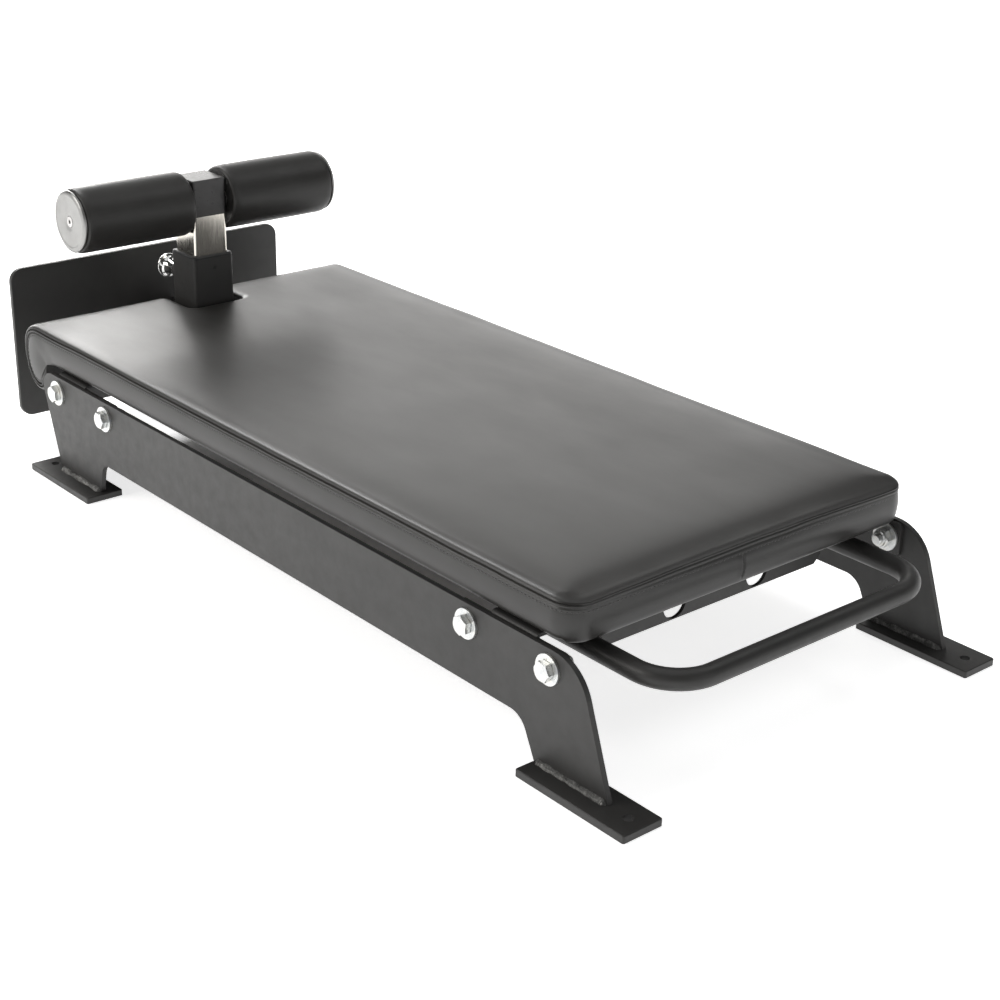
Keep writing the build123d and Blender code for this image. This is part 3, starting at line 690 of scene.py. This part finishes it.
def puff(points):
    """Swells a closed foam body by cloth simulation; returns each point's move, at most PUFF_CAP."""
    mesh = bpy.data.meshes.new("puff")
    half = PAD_HALF - 2.0
    outline = [(PAD_FRONT - 3, PAD_UNDER + 3), (PAD_FRONT - 3, 180)]
    outline += [(PAD_FRONT - 16, PAD_TOP - 1)]
    for s in np.arange(S_ROLL - 6, S_END - 8, 6.0):
        p, n = on_profile(s)
        outline.append(tuple(p - n * 1.0))
    outline.append((-482.0, PAD_UNDER + 2))
    build = Build()
    ring = [[(x, y, z) for x, z in outline] for y in (-half, half)]
    build.grid(ring, close_u=True, cap_start=True, cap_end=True)
    mesh.from_pydata((np.array(build.verts) * MM).tolist(), [], build.faces)
    body = bpy.data.objects.new("puff", mesh)
    bpy.context.scene.collection.objects.link(body)
    cutter_mesh = bpy.data.meshes.new("puff_cutter")
    bm = bmesh.new()
    bmesh.ops.create_cube(bm, size=1.0)
    bmesh.ops.scale(bm, vec=Vector((200, 2 * NOTCH_HALF + 4, 300)) * MM, verts=bm.verts)
    bmesh.ops.translate(bm, vec=Vector((NOTCH_FRONT + 2 - 100, 0, 150)) * MM, verts=bm.verts)
    bm.to_mesh(cutter_mesh)
    bm.free()
    cutter = bpy.data.objects.new("puff_cutter", cutter_mesh)
    bpy.context.scene.collection.objects.link(cutter)
    bm = bmesh.new()
    bm.from_mesh(mesh)
    bmesh.ops.recalc_face_normals(bm, faces=bm.faces)
    bm.to_mesh(mesh)
    bm.free()
    cut = body.modifiers.new("cut", "BOOLEAN")
    cut.operation = "DIFFERENCE"
    cut.object = cutter
    remesh = body.modifiers.new("remesh", "REMESH")
    remesh.mode = "VOXEL"
    remesh.voxel_size = VOXEL
    bpy.context.view_layer.update()
    depsgraph = bpy.context.evaluated_depsgraph_get()
    solid = bpy.data.meshes.new_from_object(body.evaluated_get(depsgraph))
    body.modifiers.clear()
    body.data = solid
    bpy.data.objects.remove(cutter)
    rest = np.array([v.co for v in solid.vertices], float)
    group = body.vertex_groups.new(name="held")
    x, y, z = (rest / MM).T
    under = (z < PAD_UNDER + 9) & (x > -478)
    seam = (z < PAD_TOP - 3) & (z > PAD_TOP - 13) & (x > ROLL_START)
    wall = (abs(y) > half - 5) | (x > PAD_FRONT - 10)
    at_notch = (abs(y) < NOTCH_HALF + 8) & (x < NOTCH_FRONT + 8)
    held = under | (seam & wall) | at_notch
    for i in np.nonzero(held)[0]:
        group.add([int(i)], 1.0, "REPLACE")
    cloth = body.modifiers.new("cloth", "CLOTH")
    cloth.settings.quality = 4
    cloth.settings.mass = 0.4
    cloth.settings.tension_stiffness = 40
    cloth.settings.compression_stiffness = 20
    cloth.settings.shear_stiffness = 15
    cloth.settings.bending_stiffness = 2
    cloth.settings.use_pressure = True
    cloth.settings.uniform_pressure_force = 4.0
    cloth.settings.vertex_group_mass = "held"
    cloth.settings.effector_weights.gravity = 0
    cloth.collision_settings.use_collision = False
    cloth.collision_settings.use_self_collision = False
    cloth.point_cache.frame_start = 1
    cloth.point_cache.frame_end = PUFF_FRAMES
    scene = bpy.context.scene
    for f in range(1, PUFF_FRAMES + 1):
        scene.frame_set(f)
    depsgraph = bpy.context.evaluated_depsgraph_get()
    swollen = bpy.data.meshes.new_from_object(body.evaluated_get(depsgraph))
    end = np.array([v.co for v in swollen.vertices], float)
    scene.frame_set(1)
    move = (end - rest) / MM
    size = np.linalg.norm(move, axis=1)
    move *= (PUFF_CAP * np.tanh(size / PUFF_CAP) / np.maximum(size, 1e-6))[:, None]
    bpy.data.objects.remove(body)
    tree = kdtree.KDTree(len(rest))
    for i, p in enumerate(rest / MM):
        tree.insert(p, i)
    tree.balance()
    shifts = np.zeros_like(points)
    for i, p in enumerate(points):
        found = tree.find_n(p, 10)
        w = np.array([1 / (d + 2.0) ** 2 for _, _, d in found])
        shifts[i] = (move[[k for _, k, _ in found]] * w[:, None]).sum(0) / w.sum()
    return shifts


def wave(x, y, seed):
    """Sum of a few sine waves, a smooth repeatable pattern from about -1 to 1."""
    r = random.Random(seed)
    total = np.zeros_like(x)
    for _ in range(7):
        a = r.uniform(0, math.tau)
        k = r.uniform(0.6, 1.6)
        total += np.sin((x * math.cos(a) + y * math.sin(a)) * k + r.uniform(0, math.tau))
    return total / 3.2


cover, outer_edge = build_cover()
cover_points = np.array(cover.verts, float)
shift = puff(cover_points)
x, y, z = cover_points.T
on_top = np.clip((z - (PAD_TOP - 6)) / 5, 0, 1) * (x > ROLL_START - 30)
inner = np.clip((PAD_HALF - abs(y)) / 60, 0, 1) * np.clip((PAD_FRONT - x) / 90, 0, 1)
shift[:, 2] *= np.where(on_top > 0, 0.55, 1.0)
shift[:, 2] += on_top * (wave(x / 60, y / 60, 3) * 0.28 + wave(x / 19, y / 26, 5) * 0.07) * inner
band = (z < PAD_TOP - 6) & (z > PAD_UNDER + 1)
near_corner = np.exp(-(((x - PAD_FRONT + 20) / 60) ** 2)) * np.clip((abs(y) - 120) / 100, 0, 1)
ripple = wave(x / 11 + y / 13, z / 22, 9) * (0.12 + 0.35 * near_corner)
side_wall = band & (abs(y) > PAD_HALF - 4)
front_wall = band & (x > PAD_FRONT - 4)
fade = np.clip((z - PAD_UNDER) / 8, 0, 1) * np.clip((PAD_TOP - 15 - z) / 8, 0, 1)
shift[:, 1] += np.where(side_wall, np.sign(y) * ripple * fade, 0)
shift[:, 0] += np.where(front_wall, ripple * fade, 0)
near_wall = (abs(y) > PAD_HALF - 16) | (x > PAD_FRONT - 16)
at_seam = np.exp(-(((z - 179) / 7) ** 2)) * near_wall * (x > ROLL_START + 20)
shift[:, 2] += at_seam * (0.55 * wave(x / 38, y / 38, 13) + 0.3 * wave(x / 13, y / 13, 14))
middle = np.clip(1 - (y / 200) ** 2, 0, 1) * np.clip((x - PAD_FRONT + 60) / 60, 0, 1)
shift[:, 0] -= 4.0 * middle * np.exp(-(((z - 181) / 9) ** 2))
cover_points += shift
cover_points[:, 2] = np.minimum(cover_points[:, 2], PAD_TOP + 4)
pad = make_object("pad_cover", cover_points, cover.faces, mat_vinyl, "frame", 60)
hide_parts("pad_cushion")


def stitches():
    """A row of lock stitches on the band just below the seam."""
    build = Build()
    depth, inset = 14.0, 0.35
    s, y, os_, oy = outer_edge.T
    late = np.clip((S_END - s) / FADE, 0, 1)
    path = lift(s - inset * os_, y - inset * oy, depth * late)
    tree = kdtree.KDTree(len(cover_points))
    base = cover_points - shift
    for i, p in enumerate(base):
        tree.insert(p, i)
    tree.balance()
    path = np.array([p + shift[tree.find(p)[1]] for p in path])
    out = np.zeros((len(s), 3))
    _, n = on_profile(s)
    tangent_in = np.stack([-n[:, 1], n[:, 0]], -1)
    out[:, 1] = oy
    out[:, 0] = -os_ * np.abs(tangent_in[:, 0])
    steps = np.linalg.norm(np.diff(path, axis=0), axis=1)
    along = np.concatenate([[0], np.cumsum(steps)])
    keep = late > 0.99
    a0, a1 = along[keep][0], along[keep][-1]
    at = a0 + 2
    while at < a1 - 6:
        length = 4.0 + rng.uniform(-0.2, 0.2)
        mids = np.linspace(at, at + length, 5)
        pts = np.stack([np.interp(mids, along, path[:, i]) for i in range(3)], 1)
        o = np.stack([np.interp(mids, along, out[:, i]) for i in range(3)], 1)
        o /= np.linalg.norm(o, axis=1)[:, None]
        t = pts[-1] - pts[0]
        t /= np.linalg.norm(t)
        rows = []
        for k, (p, n_) in enumerate(zip(pts, o)):
            r = (0.12, 0.42, 0.5, 0.42, 0.12)[k]
            sink = (-0.35, 0.1, 0.25, 0.1, -0.35)[k]
            side = np.cross(t, n_)
            c = p + n_ * sink
            angles = np.arange(6) * math.tau / 6
            rows.append([c + r * (math.cos(a) * n_ + math.sin(a) * side) for a in angles])
        build.grid(rows, close_u=True, cap_start=True, cap_end=True)
        at += length + 1.3
    return make_object("pad_stitches", build.verts, build.faces, mat_thread, "frame", 180)


stitches()


# ----------------------------------------------------------------- rollers
def lathe(build, profile, axis_point, direction, steps=96):
    """Spins (distance along axis, radius) pairs round a Y axis; direction is +1 or -1 along Y."""
    rows = []
    for along, radius in profile:
        rows.append(
            [
                (
                    axis_point[0] + radius * math.cos(a),
                    axis_point[1] + direction * along,
                    axis_point[2] + radius * math.sin(a),
                )
                for a in np.arange(steps) * math.tau / steps
            ]
        )
    build.grid(rows, close_u=True, close_v=True)


def roller(name, side):
    """Foam sleeve in a tight cover, its ends turned in over a rolled lip."""
    radius = ROLLER_RADIUS
    length = ROLLER_END - ROLLER_START
    body = Build()
    # The rolled lip: distance from the sleeve's end, depth below its radius.
    lip = (
        (1.4, 8.0), (1.0, 7.0), (0.3, 6.0), (0.0, 5.0), (0.25, 3.8), (0.9, 2.6), (1.9, 1.6),
        (3.0, 0.9), (4.0, 0.55), (4.7, 0.55), (5.2, 0.35), (6.0, 0.1),
    )
    profile = [(1.4, ROLLER_BORE)] + [(along, radius - depth) for along, depth in lip]
    middle = [(6 + (length - 12) * k / 24, radius + 0.18 * math.sin(math.pi * k / 24)) for k in range(1, 24)]
    profile = profile + middle + [(length - a, r) for a, r in profile[::-1]]
    lathe(body, profile, (AXIS_X, side * ROLLER_START, AXIS_Z), side)
    rider = name.replace("_cover", "")
    piece = make_object(name, body.verts, body.faces, mat_roller, rider, 50)
    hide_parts(name.replace("roller_", "roller_sleeve_").replace("_cover", ""))


roller("roller_left_cover", -1)
roller("roller_right_cover", 1)


def end_disc(name, side, replaced):
    """Spun cap with a rolled rim and a dished middle round its screw."""
    body = Build()
    profile = [
        (0.2, 7.5), (0.2, 39.4), (1.4, 40.0), (2.4, 39.9), (3.5, 39.0), (4.3, 37.6), (4.8, 36.0),
        (5.1, 34.4), (5.15, 33.4), (4.7, 32.7), (4.65, 31.5), (4.75, 14.0), (4.5, 11.5), (3.9, 9.6),
        (3.7, 8.4), (3.7, 7.5),
    ]
    lathe(body, profile, (AXIS_X, side * CAP_SEAT, AXIS_Z), side)
    piece = make_object(name, body.verts, body.faces, mat_cap, "post", 40)
    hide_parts(replaced)


end_disc("cap_left_disc", -1, "end_cap_left")
end_disc("cap_right_disc", 1, "end_cap_right")


# --------------------------------------------------------------- weld beads
def bead(build, start, end, into_a, into_b, leg, seed):
    """A rippled fillet weld along a straight corner between two plates."""
    start, end, corner_a, corner_b = map(np.array, (start, end, into_a, into_b))
    r = random.Random(seed)
    length = np.linalg.norm(end - start)
    direction = (end - start) / length
    phase, scale = r.uniform(0, 6), [r.uniform(0.74, 1.14) for _ in range(64)]
    rows = []
    step = 0.55
    count = int(length / step)
    for i in range(count + 1):
        at = length * i / count
        row = []
        lump = np.interp(at / 9.0, range(64), scale)
        ends = min(1.0, (at + 1.2) / 4, (length - at + 1.2) / 4)
        for k in range(9):
            a = math.pi / 2 * k / 8
            back = 1.1 * math.sin(2 * a)
            ripple = 0.5 + 0.5 * math.cos((at + back * 1.5 + phase) * math.tau / 2.6)
            size = leg * lump * ends * (0.80 + 0.13 * ripple)
            swell = 1.0 - 0.10 * math.sin(2 * a)
            out = math.cos(a) * corner_a + math.sin(a) * corner_b
            row.append(start + direction * at + size * swell * out)
        row.append(start + direction * at - 0.6 * (corner_a + corner_b))
        rows.append(row)
    build.grid(rows, close_u=True, cap_start=True, cap_end=True)


FOOT_LEG, CHEEK_LEG = 5.2, 6.0
welds = Build()
seed = 20
for x0, x1 in FOOT_WELD_SPANS:
    for side in (-1, 1):
        for face, way in ((PLATE_OUT, 1), (PLATE_IN, -1)):
            ends = (x0, side * face, FOOT_TOP), (x1, side * face, FOOT_TOP)
            bead(welds, *ends, (0, side * way, 0), (0, 0, 1), FOOT_LEG, seed)
            seed += 1
weld_piece = make_object("weld_beads", welds.verts, welds.faces, mat_weld, "frame", 50)
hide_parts("foot_welds")

cheek_welds = Build()
for side in (-1, 1):
    ends = [(CHEEK_WELD_X, side * CHEEK_WELD_Y, z) for z in CHEEK_WELD_Z]
    bead(cheek_welds, *ends, (1, 0, 0), (0, side, 0), CHEEK_LEG, seed)
    seed += 1
cheek_piece = make_object(
    "bracket_weld_beads", cheek_welds.verts, cheek_welds.faces, mat_powder_dark, "frame", 50
)
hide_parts("bracket_welds")


# -------------------------------------------------------------- bolts and nuts
def hex_radius(angle, flats):
    """Distance to a hexagon's side in a direction."""
    a = (angle + math.pi / 6) % (math.pi / 3) - math.pi / 6
    return flats / 2 / math.cos(a)


def hex_head(build, origin, out, turn, flats, height, bore=None, chamfer_low=False):
    """Hexagon with its corners chamfered by a cone, solid or with a bore."""
    steps = 72
    angles = np.arange(steps) * math.tau / steps
    rim = flats / 2 * 0.955
    slope = math.tan(math.radians(30))

    def ring(radius_of, height_of):
        row = []
        for a in angles:
            radius = radius_of(a)
            x = origin[0] + radius * math.cos(a + turn)
            z = origin[2] + radius * math.sin(a + turn)
            row.append((x, origin[1] + out * height_of(radius), z))
        return row

    def full(a):
        return hex_radius(a, flats)

    rows = []
    low = (lambda r: max(0.0, (r - rim) * slope)) if chamfer_low else (lambda r: 0.6)
    if bore:
        rows.append(ring(lambda a: bore, lambda r: height))
        rows.append(ring(lambda a: bore, lambda r: 0.0))
        rows.append(ring(lambda a: rim, lambda r: 0.0))
    else:
        rows.append(ring(lambda a: 0.01, lambda r: 0.0))
        rows.append(ring(lambda a: rim, lambda r: 0.0))
        rows.append(ring(lambda a: rim, lambda r: 0.6))
    rows.append(ring(full, low))
    rows.append(ring(full, lambda r: height - max(0.0, (r - rim) * slope)))
    rows.append(ring(lambda a: rim, lambda r: height))
    if bore:
        rows.append(ring(lambda a: bore + 0.8, lambda r: height))
    else:
        rows.append(ring(lambda a: rim * 0.72, lambda r: height - 0.05))
        rows.append(ring(lambda a: rim * 0.66, lambda r: height - 0.3))
        rows.append(ring(lambda a: 0.01, lambda r: height - 0.35))
    build.grid(rows, close_u=True, close_v=True)


def threaded_rod(build, origin, way, start, end, radius, thread_from):
    """Shank along Y with a real helical thread on its last stretch."""
    steps, pitch, cut = 32, 1.75, 0.75
    rows = []
    stations = [start, thread_from] + list(np.arange(thread_from + 0.2, end - 0.9, 0.22)) + [end - 0.8, end]
    for at in stations:
        row = []
        for k in range(steps):
            a = math.tau * k / steps
            phase = (at / pitch + k / steps) % 1
            groove = cut * (1 - abs(2 * phase - 1)) if thread_from < at < end - 0.8 else 0.0
            r = radius - groove
            if at == end:
                r = radius - 1.0
            row.append((origin[0] + r * math.cos(a), origin[1] + way * at, origin[2] + r * math.sin(a)))
        rows.append(row)
    build.grid(rows, close_u=True, cap_start=True, cap_end=True)


bolts, nuts, rings_of_nuts = Build(), Build(), Build()
turn = 0.3
for x0 in BOLT_XS:
    for side in (-1, 1):
        turn += 0.77
        seat = (x0, side * (PLATE_OUT + WASHER), BOLT_Z)
        hex_head(bolts, seat, side, turn, 19.0, 7.5)
        threaded_rod(bolts, seat, -side, 0.0, 30.0, 6.0, 15.5)
        nut_seat = (x0, side * (PLATE_IN - FLANGE - WASHER), BOLT_Z)
        hex_head(nuts, nut_seat, -side, turn * 1.7, 19.0, 8.4, bore=6.0, chamfer_low=True)
        collar = []
        for along, radius in ((8.4, 6.0), (8.4, 8.6), (10.6, 8.5), (11.6, 8.0), (12.0, 7.2), (12.0, 6.0)):
            collar.append((along, radius))
        lathe(rings_of_nuts, collar, nut_seat, -side, 48)
bolt_piece = make_object("bolt_heads", bolts.verts, bolts.faces, mat_zinc, "frame", 35)
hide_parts("hex_bolts")
nut_piece = make_object("nut_bodies", nuts.verts, nuts.faces, mat_zinc, "frame", 35)
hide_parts("lock_nuts")
make_object("nut_collars", rings_of_nuts.verts, rings_of_nuts.faces, mat_zinc, "frame", 35)


# ----------------------------------------------- materials of the CAD pieces
finish = {
    "side_plate_left": mat_powder, "side_plate_right": mat_powder,
    "foot_rear_left": mat_powder, "foot_rear_right": mat_powder,
    "foot_front_left": mat_powder, "foot_front_right": mat_powder,
    "rear_crossmember": mat_powder, "front_crossmember": mat_powder,
    "handle_tube": mat_powder, "handle_lugs": mat_powder,
    "bracket_plate_left": mat_powder_dark, "bracket_plate_right": mat_powder_dark,
    "socket_tube": mat_powder_dark, "footplate": mat_powder_dark, "pin_barrel": mat_powder_dark,
    "outer_washers": mat_zinc, "inner_washers": mat_zinc,
    "pad_screws": mat_zinc, "pad_washers": mat_zinc, "pad_inserts": mat_zinc,
    "post_tube": mat_post, "pin_knob": mat_knob,
    "axle": mat_steel, "roller_core_left": mat_steel, "roller_core_right": mat_steel,
    "pin_rod": mat_steel, "pin_spring": mat_steel, "cap_screws": mat_steel,
    "socket_liner": mat_nylon, "post_plug": mat_nylon, "handle_plugs": mat_nylon,
    "thrust_washers": mat_nylon, "roller_bushes_left": mat_nylon, "roller_bushes_right": mat_nylon,
    "head_block": mat_head, "pad_board": mat_ply,
}
for name, mat in finish.items():
    for slot_index in range(len(nodes[name].data.materials)):
        nodes[name].data.materials[slot_index] = mat


# ------------------------------------------------------------ floor and light
FLOOR_GLOW, FAR_GLOW = 0.76, 1.0
FLOOR_HALF = 60.0
WORLD_STRENGTH = 1.0


def floor_material():
    """Pale floor that glows a little, except under the bench, where the glow is masked off to paint the shade
    there dark.
    """
    m = Mat("studio_floor", (0.93, 0.93, 0.93), 0.8)
    m.colour(m.noise(3, 2), (0.925, 0.925, 0.925), (0.935, 0.935, 0.935))
    m.bsdf.inputs["Emission Color"].default_value = (1, 1, 1, 1)
    split = m.node("ShaderNodeSeparateXYZ")
    m.link(m.coord.outputs["Object"], split.inputs["Vector"])
    # Soft rectangle under the bench where the glow is cut off: painted shade on the floor.
    across = m.spread(m.math("ABSOLUTE", split.outputs["Y"]), 0.0, 1.0, 0.09, 0.16)
    along = m.spread(m.math("ABSOLUTE", m.math("ADD", split.outputs["X"], 0.11)), 0.0, 1.0, 0.335, 0.385)
    glow_outside_painted_shade = m.math("MAXIMUM", across, along)
    far = m.node("ShaderNodeVectorMath", operation="LENGTH")
    m.link(m.coord.outputs["Object"], far.inputs["Vector"])
    glow = m.spread(far.outputs["Value"], FLOOR_GLOW, FAR_GLOW, 3.0, 9.0)
    m.link(m.math("MULTIPLY", glow_outside_painted_shade, glow), m.bsdf.inputs["Emission Strength"])
    return m.mat


floor_mesh = bpy.data.meshes.new("floor")
corners = [(x * FLOOR_HALF, y * FLOOR_HALF, 0) for x, y in ((-1, -1), (1, -1), (1, 1), (-1, 1))]
floor_mesh.from_pydata(corners, [], [(0, 1, 2, 3)])
floor = bpy.data.objects.new("floor", floor_mesh)
floor.location = (0, 0, -0.0005)
floor.data.materials.append(floor_material())
bpy.context.scene.collection.objects.link(floor)

world = bpy.data.worlds.new("studio")
bpy.context.scene.world = world
world.use_nodes = True
background = world.node_tree.nodes["Background"]
background.inputs["Strength"].default_value = WORLD_STRENGTH
# Pale at the horizon, dark overhead.
sky = world.node_tree
sky_coord = sky.nodes.new("ShaderNodeTexCoord")
sky_split = sky.nodes.new("ShaderNodeSeparateXYZ")
sky_ramp = sky.nodes.new("ShaderNodeValToRGB")
for element, (height, grey) in zip(sky_ramp.color_ramp.elements, ((0.09, 1), (0.22, 0.05))):
    element.position = height
    element.color = (grey, grey, grey, 1)
sky.links.new(sky_coord.outputs["Generated"], sky_split.inputs["Vector"])
sky.links.new(sky_split.outputs["Z"], sky_ramp.inputs["Fac"])
sky.links.new(sky_ramp.outputs["Color"], background.inputs["Color"])


def softbox(name, position, target, width, height, watts, colour=(1, 1, 1)):
    data = bpy.data.lights.new(name, "AREA")
    data.shape = "RECTANGLE"
    data.size, data.size_y = width, height
    data.energy = watts
    data.color = colour
    obj = bpy.data.objects.new(name, data)
    obj.location = position
    obj.rotation_euler = (Vector(target) - Vector(position)).to_track_quat("-Z", "Y").to_euler()
    bpy.context.scene.collection.objects.link(obj)


softbox("rear_left_softbox", (-4.2, 2.4, 1.5), (0, 0, 0.2), 5.0, 2.2, 76, (1.0, 0.99, 0.97))
softbox("rear_far_left_softbox", (-4.6, 1.0, 1.2), (0, 0, 0.2), 2.0, 1.6, 98, (1.0, 0.99, 0.97))
softbox("near_left_softbox", (-1.6, -3.4, 2.2), (0, 0, 0.15), 2.6, 2.0, 78, (1.0, 0.98, 0.95))
softbox("front_softbox", (4.0, 0.8, 2.4), (0, 0, 0.15), 2.4, 2.4, 15)
softbox("rear_high_softbox", (-2.5, 0.2, 2.7), (0, 0, 0.15), 0.9, 1.8, 52)
softbox("far_high_softbox", (0.4, 2.2, 2.9), (0, 0, 0.15), 1.8, 0.8, 10)
softbox("overhead_softbox", (0.1, 0.0, 4.0), (0, 0, 0), 4.0, 4.0, 38)

# ------------------------------------------------------------------- camera
camera_data = bpy.data.cameras.new("camera")
camera_data.sensor_width = 36.0
camera_data.lens = 67.52
camera_data.shift_x = -0.01373
camera_data.shift_y = -0.01018
camera_data.clip_start, camera_data.clip_end = 0.05, 60
camera = bpy.data.objects.new("camera", camera_data)
camera.matrix_world = Matrix(
    (
        (0.649568, -0.307078, 0.695531, 1.643435),
        (0.760028, 0.237631, -0.604888, -1.288435),
        (0.020468, 0.921539, 0.387746, 0.941790),
        (0, 0, 0, 1),
    )
)
bpy.context.scene.collection.objects.link(camera)
bpy.context.scene.camera = camera
bpy.context.scene.view_settings.view_transform = "Standard"
